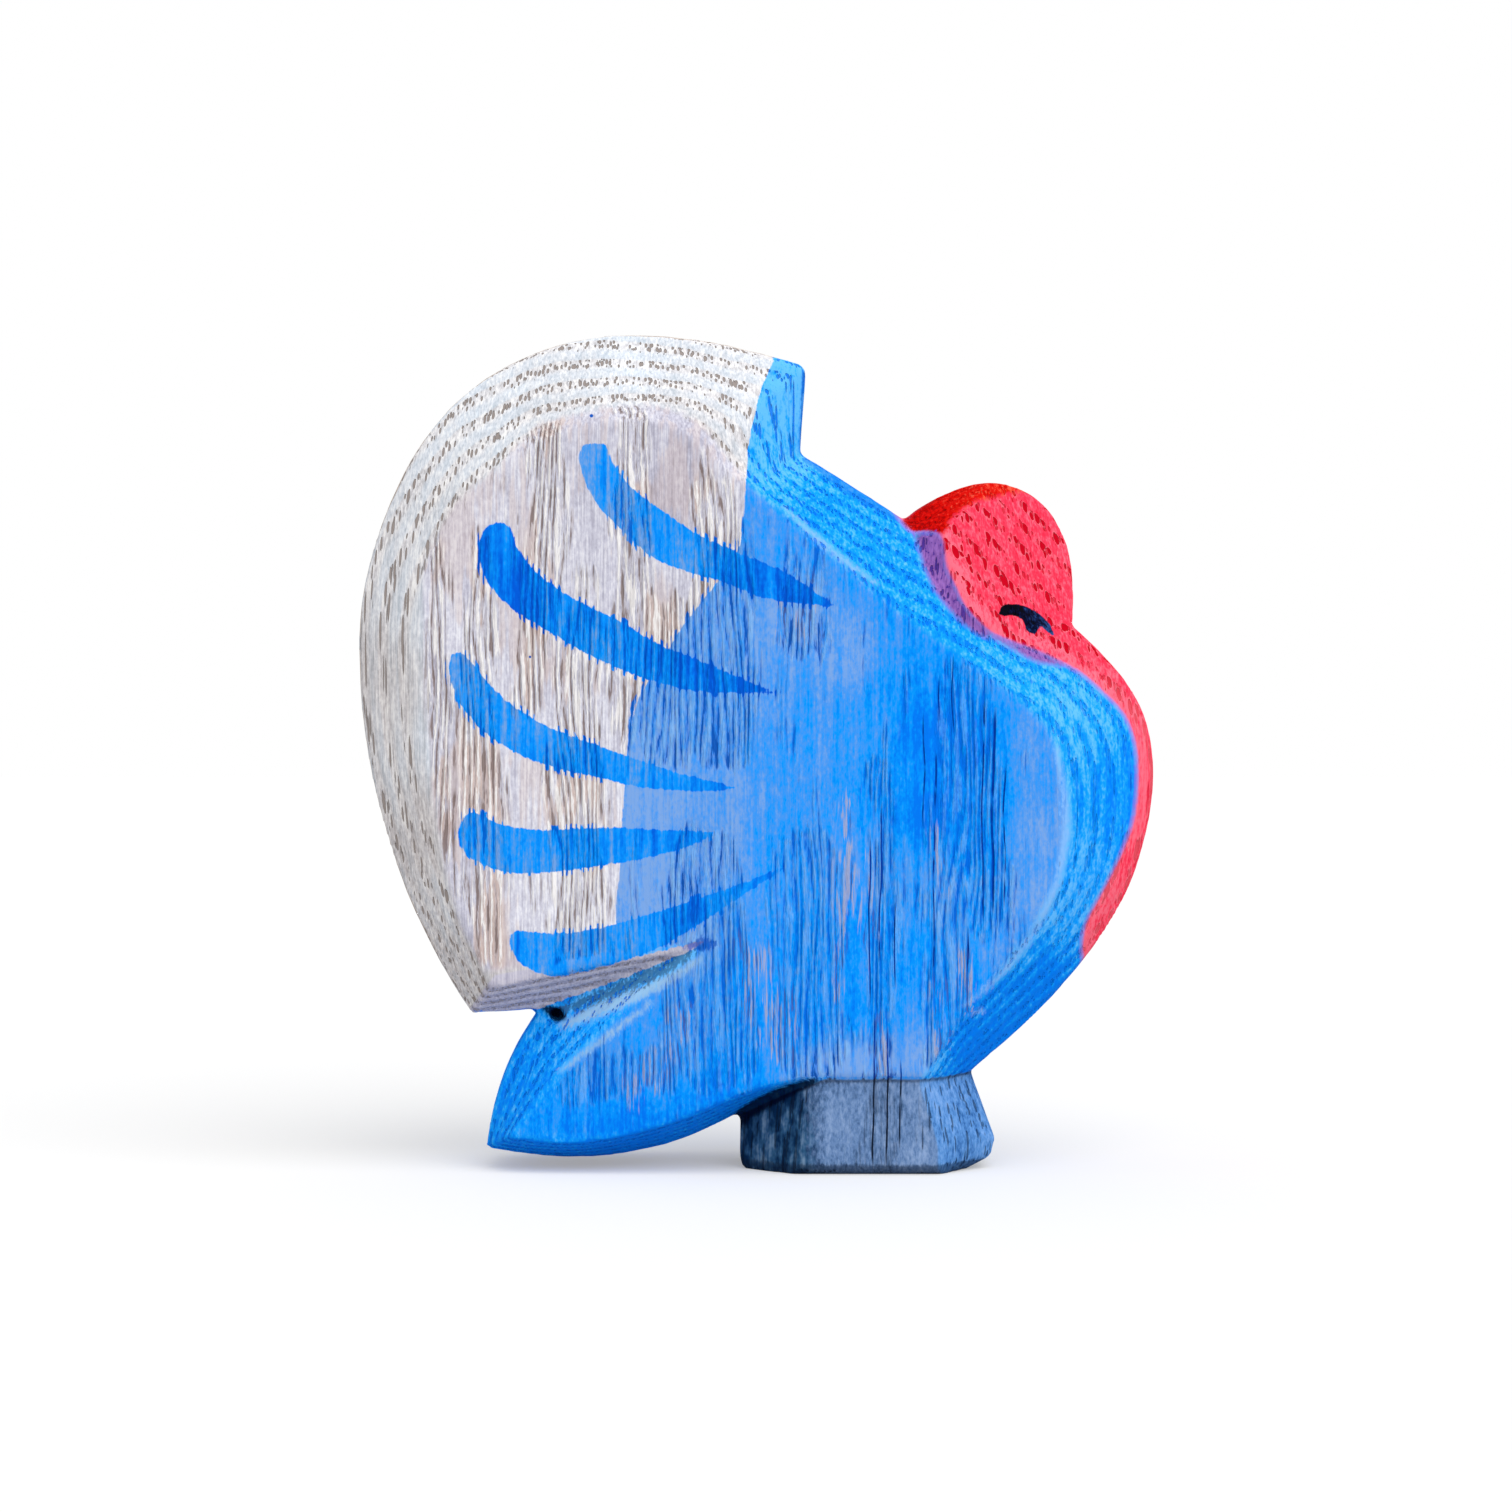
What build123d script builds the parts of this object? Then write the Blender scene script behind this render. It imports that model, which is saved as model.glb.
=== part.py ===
"""A standing turkey figure, carved from one ash board and painted.

The board stands on edge: +X is towards the breast, +Z is up and the two broad faces look along -Y and +Y.
The origin is under the middle of the figure, on the surface that it stands on.
Each broad face is flat in the middle and falls away to the sawn rim in wide knife-cut bevels. A V-cut in each
face, deepest at the rim, parts the fanned tail from the folded tail below it. The fan is planed thinner
towards its edge, the head is pared with slanting flat cuts, and the foot is a block with its corners cut off.
"""

import os

from build123d import *

# Driving dimensions, in millimetres and degrees
BOARD_THICKNESS = 22.0
RIM_THICKNESS = 10.0  # the sawn rim that is left between the two bevels
FAN_TAPER_START = -2.0  # from here towards the fan's edge each face is planed down
FAN_TAPER_ANGLE = 4.0
FAN_TIP_RADIUS = 1.2
HEAD_BLOCK_THICKNESS = 20.0  # before the head is pared
BELLY_HEIGHT = 10.3
FOOT_THICKNESS = 21.0
FOOT_HEIGHT = 12.0  # the block runs on up into the body behind the belly's lower line
SOLE_CHAMFER = 0.7
PIT_CENTRE = (-21.3, 16.5)  # where the knife's point ended each V-cut
PIT_RADIUS = 0.8
PIT_DEPTH = 2.0  # below the rim's own face

# The figure's outline as (x, z) points, in named stretches that join end to end. A stretch of two points is
# straight, and a longer one is a curve through its points. The rim is the outermost outline, and the face is
# what the bevels leave of the board's surface, so each stretch of one has its partner in the other.
FAN_TIP, FAN_HEEL, NOTCH = (5.4, 86.1), (-30.5, 16.6), (-23.3, 17.1)
TAIL_TIP, TAIL_ROOT, BELLY = (-28.9, 2.3), (7.0, BELLY_HEIGHT), (22.8, BELLY_HEIGHT)
THROAT, NAPE, BACK = (34.1, 58.1), (15.9, 69.6), (4.7, 76.6)
RIM_OUTLINE = {
    "fan top": [FAN_TIP, (-3.9, 88.4), (-12.5, 89.4), (-29.8, 84.1), (-39.4, 71.2), (-42.5, 54.0)],
    "fan back": [(-42.5, 54.0), (-40.1, 37.6), FAN_HEEL],
    "fan underside": [FAN_HEEL, NOTCH],
    "tail end": [NOTCH, (-26.3, 12.0), TAIL_TIP],
    "tail underside": [TAIL_TIP, (-18.0, 1.3), (-7.7, 3.2), (-2.0, 5.9), TAIL_ROOT],
    "belly line": [TAIL_ROOT, BELLY],
    "breast": [BELLY, (33.1, 19.9), (39.9, 30.1), (42.6, 41.0), (40.9, 50.2), (36.9, 55.4), THROAT],
    "head joint": [THROAT, (25.6, 63.4), NAPE],
    "back": [NAPE, BACK],
    "fan front": [BACK, FAN_TIP],
}
FACE_TIP, FACE_HEEL, CUT_END = (-5.6, 75.6), (-27.0, 21.0), (-4.6, 24.6)
FACE_TAIL_TIP, FACE_ROOT, FACE_BELLY = (-25.2, 4.4), (7.2, BELLY_HEIGHT), (17.6, BELLY_HEIGHT)
FACE_THROAT, FACE_NAPE, FACE_BACK = (26.6, 51.0), (12.8, 61.2), (-0.4, 72.4)
FACE_OUTLINE = {
    "fan top": [FACE_TIP, (-9.0, 78.0), (-13.4, 78.2), (-24.8, 72.4), (-29.8, 64.2), (-31.8, 52.0)],
    "fan back": [(-31.8, 52.0), (-30.8, 36.8), FACE_HEEL],
    "fan underside": [FACE_HEEL, CUT_END],
    "tail end": [CUT_END, (-16.0, 15.0), FACE_TAIL_TIP],
    "tail underside": [FACE_TAIL_TIP, (-15.0, 4.2), (-6.1, 6.8), (-1.0, 8.7), FACE_ROOT],
    "belly line": [FACE_ROOT, FACE_BELLY],
    "breast": [FACE_BELLY, (25.6, 21.6), (30.8, 29.4), (32.6, 37.0), (32.0, 43.4), (30.2, 47.6), FACE_THROAT],
    "head joint": [FACE_THROAT, (18.8, 56.6), FACE_NAPE],
    "back": [FACE_NAPE, FACE_BACK],
    "fan front": [FACE_BACK, FACE_TIP],
}

# The head's outline, whose lower stretches lie inside the body
HEAD_NAPE, HEAD_THROAT, WATTLE, CHIN = (15.0, 68.9), (33.9, 57.6), (36.0, 54.6), (31.0, 50.0)
NECK_FRONT, NECK_BACK = (25.0, 51.0), (13.4, 60.4)
HEAD_OUTLINE = {
    "crown": [HEAD_NAPE, (19.7, 72.2), (24.9, 73.8), (29.9, 72.6), (33.2, 68.6), (34.3, 63.0), HEAD_THROAT],
    "throat": [HEAD_THROAT, WATTLE],
    "wattle": [WATTLE, CHIN],
    "neck": [CHIN, NECK_FRONT],
    "shoulder": [NECK_FRONT, NECK_BACK],
    "nape": [NECK_BACK, HEAD_NAPE],
}

# The flat cuts that pare each side of the head: a point (x, z) of the cut, half the head's thickness there,
# and how much that half grows for each millimetre in X and in Z
HEAD_CUTS = {
    "cheek": ((34.3, 63.0), 2.6, (-0.43, -0.39)),
    "crown": ((20.2, 68.4), 6.56, (0.40, -1.17)),
    "nape": ((19.8, 68.0), 6.9, (0.40, -0.15)),
    "neck": ((22.3, 59.3), 9.2, (-0.20, 0.095)),
}

# The foot's plan at four heights: where in X its heel, the two ends of its flat front and its toe are, then
# half its thickness at heel and toe and half its thickness at the flat front
FOOT_PLANS = {
    0.0: (-1.4, 4.4, 19.4, 22.6, 4.8, FOOT_THICKNESS / 2 - 0.4),
    1.3: (-1.7, 4.6, 19.4, 25.1, 4.6, FOOT_THICKNESS / 2 - 0.3),
    3.2: (-1.7, 4.9, 19.2, 25.6, 4.5, FOOT_THICKNESS / 2 - 0.2),
    FOOT_HEIGHT: (-1.7, 6.8, 17.0, 22.5, 3.6, FOOT_THICKNESS / 2),
}


def outline_face(outline, plane):
    """The flat face inside a closed outline."""
    with BuildSketch(plane) as sketch:
        with BuildLine():
            for points in outline.values():
                if len(points) == 2:
                    Line(*points)
                else:
                    Spline(*points)
        make_face()
    return sketch.sketch


def foot_face(height, heel, front_from, front_to, toe, half_end, half_front):
    """The foot's eight-sided section at one height."""
    half = [(heel, half_end), (front_from, half_front), (front_to, half_front), (toe, half_end)]
    with BuildSketch(Plane.XY.offset(height)) as sketch:
        Polygon(*half, *[(x, -y) for x, y in reversed(half)], align=None)
    return sketch.sketch


def bevelled_slab(rim, face, rim_thickness, thickness):
    """Adds a slab of the rim's outline and, on each side of it, a layer that narrows to the face."""
    extrude(outline_face(rim, Plane.XZ), amount=rim_thickness / 2, both=True)
    for side in (1, -1):
        layer_foot = outline_face(rim, Plane.XZ.offset(side * rim_thickness / 2))
        layer_top = outline_face(face, Plane.XZ.offset(side * thickness / 2))
        loft([layer_foot, layer_top], ruled=True)


# The head, a block of its outline with the same flat cuts on both sides
with BuildPart() as head:
    extrude(outline_face(HEAD_OUTLINE, Plane.XZ), amount=HEAD_BLOCK_THICKNESS / 2, both=True)
    for (x, z), half_thickness, (growth_x, growth_z) in HEAD_CUTS.values():
        for side in (1, -1):
            with BuildSketch(Plane((x, side * half_thickness, z), z_dir=(-growth_x, side, -growth_z))):
                Rectangle(150, 150)
            extrude(amount=50, mode=Mode.SUBTRACT)

with BuildPart() as turkey:
    # The body with the fan and the folded tail
    bevelled_slab(RIM_OUTLINE, FACE_OUTLINE, RIM_THICKNESS, BOARD_THICKNESS)
    fan_corner = turkey.edges().filter_by(Axis.Y).group_by(Axis.Z)[-1]
    fillet(fan_corner, FAN_TIP_RADIUS)

    # The fan's two faces, planed down towards its edge by cutting a wedge off each
    for side in (1, -1):
        start = Plane((FAN_TAPER_START, side * BOARD_THICKNESS / 2, 0))
        with BuildSketch(start.rotated((0, 0, side * FAN_TAPER_ANGLE))):
            Rectangle(60, 10, align=(Align.MAX, Align.MIN if side > 0 else Align.MAX))
        extrude(amount=100, mode=Mode.SUBTRACT)

    add(head.part)

    # The foot
    loft([foot_face(height, *plan) for height, plan in FOOT_PLANS.items()], ruled=True)
    sole = turkey.faces().sort_by(Axis.Z)[0]
    chamfer(sole.edges().filter_by(Axis.X), SOLE_CHAMFER)

    # The pits at the outer ends of the V-cuts
    for side in (1, -1):
        with BuildSketch(Plane.XZ.offset(side * (RIM_THICKNESS / 2 - PIT_DEPTH))):
            with Locations(PIT_CENTRE):
                Circle(PIT_RADIUS)
        extrude(amount=side * BOARD_THICKNESS / 2, mode=Mode.SUBTRACT)

turkey.part.label = "turkey_figure"
os.makedirs("parts", exist_ok=True)
export_step(turkey.part, "parts/turkey_figure.step")
print("size", turkey.part.bounding_box().size, "centre of mass", turkey.part.center(CenterOf.MASS))
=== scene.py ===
import math
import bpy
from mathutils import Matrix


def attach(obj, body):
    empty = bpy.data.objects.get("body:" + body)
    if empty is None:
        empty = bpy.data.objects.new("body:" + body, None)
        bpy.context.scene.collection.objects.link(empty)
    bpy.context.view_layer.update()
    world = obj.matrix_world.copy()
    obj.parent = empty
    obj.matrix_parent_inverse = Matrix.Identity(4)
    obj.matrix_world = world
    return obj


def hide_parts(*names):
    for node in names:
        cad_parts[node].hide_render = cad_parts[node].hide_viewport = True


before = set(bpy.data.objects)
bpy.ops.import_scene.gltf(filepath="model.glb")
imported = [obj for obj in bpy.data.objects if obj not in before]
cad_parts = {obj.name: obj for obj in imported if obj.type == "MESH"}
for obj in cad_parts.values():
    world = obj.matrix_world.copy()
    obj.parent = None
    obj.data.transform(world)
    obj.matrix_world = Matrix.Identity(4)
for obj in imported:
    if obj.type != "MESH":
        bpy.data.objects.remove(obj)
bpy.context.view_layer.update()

from types import SimpleNamespace

import bpy
import numpy as np
from mathutils import Vector

mm = 0.001
print("frame loaded:", sorted(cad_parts))


# small helpers for node trees

class Wire:  # one value socket that understands arithmetic
    def __init__(self, graph, socket):
        self.graph = graph
        self.socket = socket

    def __add__(self, other):
        return self.graph.maths("ADD", self, other)

    def __sub__(self, other):
        return self.graph.maths("SUBTRACT", self, other)

    def __rsub__(self, other):
        return self.graph.maths("SUBTRACT", other, self)

    def __mul__(self, other):
        return self.graph.maths("MULTIPLY", self, other)

    def __truediv__(self, other):
        return self.graph.maths("DIVIDE", self, other)

    __radd__ = __add__
    __rmul__ = __mul__


class Graph:  # a node tree, with one method that makes any node
    def __init__(self, tree):
        self.tree = tree

    def feed(self, socket, value):
        if isinstance(value, Wire):
            value = value.socket
        if isinstance(value, bpy.types.NodeSocket):
            self.tree.links.new(value, socket)
        elif socket.type == "RGBA" and len(value) == 3:
            socket.default_value = (*value, 1.0)
        else:
            socket.default_value = value

    def node(self, kind, settings=None, sockets=None):
        made = self.tree.nodes.new(kind)
        for name, value in (settings or {}).items():
            if name == "stops":
                setStops(made.color_ramp, value)
            else:
                setattr(made, name, value)
        for name, value in (sockets or {}).items():
            self.feed(made.inputs[name], value)
        return made

    def maths(self, operation, *values):
        made = self.node("ShaderNodeMath", {"operation": operation}, dict(enumerate(values)))
        return Wire(self, made.outputs[0])

    def unit(self, value):  # held between 0 and 1
        made = self.node("ShaderNodeClamp", None, {"Value": value})
        return Wire(self, made.outputs[0])

    def step(self, value, low, high):  # a soft step from 0 at low to 1 at high
        made = self.node("ShaderNodeMapRange", {"interpolation_type": "SMOOTHSTEP"},
                         {"Value": value, "From Min": low, "From Max": high})
        return Wire(self, made.outputs[0])

    def vectors(self, operation, *values):
        made = self.node("ShaderNodeVectorMath", {"operation": operation}, dict(enumerate(values)))
        return made.outputs[0]

    def split(self, vector):
        made = self.node("ShaderNodeSeparateXYZ", None, {0: vector})
        return [Wire(self, out) for out in made.outputs]

    def noise(self, place, sizes, detail, roughness=0.5):  # sizes in millimetres
        scaled = self.vectors("DIVIDE", place, sizes)
        made = self.node("ShaderNodeTexNoise", None,
                         {"Vector": scaled, "Scale": 1.0, "Detail": detail, "Roughness": roughness})
        return Wire(self, made.outputs[0])

    def cells(self, place, sizes):  # distance to the nearest of many scattered long spots
        scaled = self.vectors("DIVIDE", place, sizes)
        made = self.node("ShaderNodeTexVoronoi", None, {"Vector": scaled, "Scale": 1.0})
        return Wire(self, made.outputs["Distance"])

    def blend(self, share, first, second):  # colours only
        made = self.node("ShaderNodeMix", {"data_type": "RGBA"}, {0: share, 6: first, 7: second})
        return made.outputs[2]

    def layer(self, mask, below, coat):  # a coat is a colour and how strongly it covers
        colour, cover = coat
        return self.blend(mask * cover, below, colour)

    def ramp(self, value, stops):
        made = self.node("ShaderNodeValToRGB", {"stops": stops}, {"Fac": value})
        return made.outputs["Color"]

    def kept(self, name):  # a number stored on the mesh
        made = self.node("ShaderNodeAttribute", {"attribute_name": name})
        return Wire(self, made.outputs["Fac"])


def emptyGraph(owner):  # of a material or a world
    owner.use_nodes = True
    owner.node_tree.nodes.clear()
    return Graph(owner.node_tree)


def setStops(colorRamp, stops):
    while len(colorRamp.elements) < len(stops):
        colorRamp.elements.new(1.0)
    for element, (position, colour) in zip(colorRamp.elements, stops):
        element.position = position
        element.color = (*colour, 1.0)


def tint(red, green, blue):  # a screen colour from 0 to 255, as the linear light that shaders take
    def linear(part):
        part = part / 255
        return part / 12.92 if part <= 0.04045 else ((part + 0.055) / 1.055) ** 2.4
    return (linear(red), linear(green), linear(blue))


# the camera, square to the board and level with the middle of the figure

cameraSet = {
    "distance": 340.0,      # from the middle of the board, in millimetres
    "height": 44.22,
    "frameWidth": 162.0,    # seen at the front edge of the rim
    "rimFront": 5.0,
    "sensor": 36.0,
    "sees": (0.01, 20.0),   # the nearest and the farthest, in metres
}


def addCamera():
    s = cameraSet
    data = bpy.data.cameras.new("frontCamera")
    data.sensor_width = s["sensor"]
    data.lens = s["sensor"] * (s["distance"] - s["rimFront"]) / s["frameWidth"]
    data.clip_start, data.clip_end = s["sees"]
    camera = bpy.data.objects.new("frontCamera", data)
    camera.location = (0.0, -s["distance"] * mm, s["height"] * mm)
    camera.rotation_euler = (math.radians(90), 0.0, 0.0)
    bpy.context.scene.collection.objects.link(camera)
    bpy.context.scene.camera = camera


addCamera()
print("camera placed")


# the board's own grain, used both for carving and for colour; everything is in millimetres

woodFields = {  # uneven fields, mostly long along the grain: sizes, detail and roughness
    "bend": ((24.0, 24.0, 70.0), 1.0, 0.5),
    "wobble": ((5.0, 5.0, 28.0), 1.0, 0.5),
    "bandRagged": ((1.6, 1.6, 9.0), 2.0, 0.6),
    "crowding": ((1.5, 1.5, 9.0), 1.0, 0.5),
    "veinNear": ((1.8, 1.8, 18.0), 2.0, 0.5),
    "veinFar": ((10.0, 10.0, 44.0), 1.0, 0.5),
    "veinBreaks": ((0.36, 0.36, 4.0), 3.0, 0.7),
    "crackWaver": ((5.0, 5.0, 9.0), 1.0, 0.5),
    "crackGaps": ((0.8, 0.8, 3.0), 1.0, 0.5),
    "knife": ((9.0, 9.0, 13.0), 1.0, 0.5),
    "carvedFibre": ((1.3, 1.3, 12.0), 1.0, 0.5),
    "streak": ((0.7, 0.7, 14.0), 3.0, 0.6),
    "fibre": ((0.2, 0.2, 5.0), 2.0, 0.6),
    "cloud": ((6.0, 6.0, 10.0), 3.0, 0.5),
    "mottle": ((0.34, 0.34, 0.7), 3.0, 0.6),
    "gathered": ((1.5, 1.5, 7.0), 2.0, 0.6),
    "brushed": ((2.0, 2.0, 3.0), 3.0, 0.7),
}

ash = {
    "pith": (2.0, 330.0),        # x and y of the tree's middle, behind the board
    "pithWander": 9.0,
    "lean": 0.03,                # sideways drift of the tree's middle with height
    "ringWidth": 1.02,
    "ringWander": 0.9,           # how far rings drift from true circles, in rings
    "ringWobble": 0.5,
    "earlyStart": 0.10,          # the porous wood is complete this far into a year's ring
    "earlyShare": 0.52,          # the porous part of the ring
    "earlyFade": (0.7, 1.4),     # it fades out between these parts of its share
    "bandRaggedness": 5.0,
    "bandBorder": (-1.2, 0.6),
    "poreCell": (0.36, 0.36, 8.0),
    "poreReach": 0.39,
    "headPoreCell": (0.72, 0.72, 8.0),
    "veinGap": 0.76,             # from one groove of a flat side to the next
    "veinDrift": (2.4, 7.0),     # how far the grooves stray, over short and long ways
    "veinMiddle": 0.25,
    "veinBreaks": 1.2,
    "crackWaver": 0.9,
    "crackWalls": (1.3, 0.4),    # where a crack's walls begin and end, in parts of half its width
    "crackEnds": (1.0, 1.5),     # how far beyond each end it begins, and how far within it is open
    "crackGaps": (0.28, 0.42),
    # long open cracks: x, the height of the lower and the upper end, and half the width
    "cracks": [
        (17.7, 37.1, 48.1, 0.07), (18.9, 38.8, 44.7, 0.10), (19.4, 48.1, 52.3, 0.08),
        (20.8, 46.8, 54.4, 0.06), (23.9, 27.0, 49.8, 0.09), (25.0, 28.0, 48.9, 0.13),
        (26.2, 28.6, 43.0, 0.08), (18.8, 20.2, 37.1, 0.07), (12.0, 18.5, 35.4, 0.08),
        (13.1, 22.7, 38.8, 0.08), (14.7, 20.2, 29.0, 0.07), (22.2, 21.5, 25.7, 0.08),
        (12.4, 1.0, 17.0, 0.09), (13.9, 1.0, 15.5, 0.10), (15.2, 3.0, 12.0, 0.07),
    ],
    # where the flat of each side cuts along a porous layer: x, z and half width
    "bands": [
        [(-33.6, 66.0, 0.7), (-34.2, 53.0, 1.2), (-33.2, 40.0, 1.2), (-31.4, 30.0, 0.8)],
        [(-28.6, 67.0, 0.8), (-29.6, 52.0, 1.6), (-29.3, 40.0, 1.8), (-27.6, 23.0, 1.3)],
        [(-22.0, 78.5, 1.5), (-22.4, 65.0, 1.7), (-24.2, 50.0, 1.3)],
        [(-18.4, 63.0, 0.9), (-19.2, 50.0, 2.2), (-18.8, 24.0, 2.6)],
        [(-13.2, 82.0, 1.1), (-13.4, 69.0, 1.4), (-13.4, 52.0, 2.2), (-13.6, 47.0, 1.0)],
        [(-4.5, 72.0, 1.5), (-3.4, 60.0, 3.4), (-3.2, 46.0, 3.0)],
        [(-9.0, 59.0, 2.0), (-9.4, 46.0, 2.6)],
        [(-6.0, 33.0, 3.4), (-5.0, 14.0, 5.0)],
        [(5.5, 33.0, 3.0), (5.5, 14.0, 3.6)],
        [(5.6, 66.0, 1.4), (5.2, 57.0, 2.4)],
        [(13.2, 43.0, 0.8), (13.2, 22.0, 1.4), (13.4, 1.0, 1.4)],
        [(22.3, 52.0, 2.4), (22.2, 29.0, 4.2)],
        [(20.6, 26.0, 2.2), (19.8, 13.0, 2.0)],
        [(-19.0, 9.5, 2.0), (-10.0, 11.5, 2.4)],
    ],
}


def uneven(graph, place, name):
    return graph.noise(place, *woodFields[name])


def growthRings(graph, place):  # 1 in the porous early wood of each ring, 0 in the dense late wood
    s = ash
    x, y, z = graph.split(place)
    bend = uneven(graph, place, "bend") - 0.5
    wobble = uneven(graph, place, "wobble") - 0.5
    across = x - s["pith"][0] + bend * s["pithWander"] + z * s["lean"]
    depth = s["pith"][1] - y
    radius = graph.maths("SQRT", across * across + depth * depth)
    ring = radius / s["ringWidth"] + bend * s["ringWander"] + wobble * s["ringWobble"]
    along = graph.maths("FRACT", ring)
    opening = graph.step(along, 0.0, s["earlyStart"])
    closing = graph.step(along, *[s["earlyShare"] * part for part in s["earlyFade"]])
    return opening * (1.0 - closing)


def porousWood(graph, place, flat, band):  # rings on the cut bevels, bands on the flats
    s = ash
    ragged = uneven(graph, place, "bandRagged") - 0.5
    bands = graph.step(band + ragged * s["bandRaggedness"], *s["bandBorder"])
    rings = growthRings(graph, place)
    return rings + flat * (bands - rings)


def poreGap(graph, place, early):  # each pore is a thin tube along the grain, cut by the surface
    s = ash
    crowding = uneven(graph, place, "crowding")
    return graph.cells(place, s["poreCell"]) - early * s["poreReach"] * (0.5 + crowding)


def combedVeins(graph, place):  # low in the grooves brushed out between fibres, high on the ridges
    s = ash
    near = uneven(graph, place, "veinNear") * s["veinDrift"][0]
    far = uneven(graph, place, "veinFar") * s["veinDrift"][1]
    broken = uneven(graph, place, "veinBreaks") - 0.5
    row = (graph.split(place)[0] + near + far) / s["veinGap"]
    comb = graph.maths("ABSOLUTE", graph.maths("FRACT", row) - 0.5)
    return comb + s["veinMiddle"] + broken * s["veinBreaks"]


def openCracks(graph, place):
    s = ash
    x, _, z = graph.split(place)
    wavering = x + (uneven(graph, place, "crackWaver") - 0.5) * s["crackWaver"]
    outer, inner = s["crackWalls"]
    beyond, within = s["crackEnds"]
    found = 0.0
    for middle, low, high, half in s["cracks"]:
        side = graph.maths("ABSOLUTE", wavering - middle)
        gaping = graph.step(side, half * outer, half * inner)
        inReach = graph.step(z, low - beyond, low + within) * graph.step(z, high + beyond, high - within)
        found = graph.maths("MAXIMUM", found, gaping * inReach)
    return found * graph.step(uneven(graph, place, "crackGaps"), *s["crackGaps"])


# outlines of the paint, as seen from the front: x and z in millimetres, on a smooth line

tiny = 1e-9  # keeps a division away from zero


def smoothLine(points, perSpan=8):  # a curve through the points; any further columns follow along
    points = np.array(points, float)
    ends = np.vstack([2 * points[0] - points[1], points, 2 * points[-1] - points[-2]])
    t = np.linspace(0, 1, perSpan, endpoint=False)[:, None]
    spans = []
    for a, b, c, d in zip(ends, ends[1:], ends[2:], ends[3:]):
        spans.append(b + 0.5 * t * (c - a + t * (2 * a - 5 * b + 4 * c - d + t * (3 * b - a - 3 * c + d))))
    return np.vstack(spans + [points[-1:]])


def lineDistance(spots, line):  # to the nearest edge of a line that has a half width
    nearest = np.full(len(spots), np.inf)
    for start, end in zip(line, line[1:]):
        run = end[:2] - start[:2]
        t = np.clip((spots - start[:2]) @ run / max(run @ run, tiny), 0, 1)
        gap = np.linalg.norm(spots - start[:2] - t[:, None] * run, axis=1)
        nearest = np.minimum(nearest, gap - (start[2] + t * (end[2] - start[2])))
    return nearest


def insideDistance(spots, outline):  # above 0 inside a closed outline, below 0 outside
    ring = np.vstack([outline, outline[:1]])
    nearest = np.full(len(spots), np.inf)
    inside = np.zeros(len(spots), bool)
    for start, end in zip(ring, ring[1:]):
        run = end - start
        t = np.clip((spots - start) @ run / max(run @ run, tiny), 0, 1)
        nearest = np.minimum(nearest, np.linalg.norm(spots - start - t[:, None] * run, axis=1))
        crosses = (start[1] > spots[:, 1]) != (end[1] > spots[:, 1])
        rise = (end[1] - start[1]) or tiny
        inside ^= crosses & (spots[:, 0] < start[0] + (spots[:, 1] - start[1]) * run[0] / rise)
    return np.where(inside, nearest, -nearest)


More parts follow.
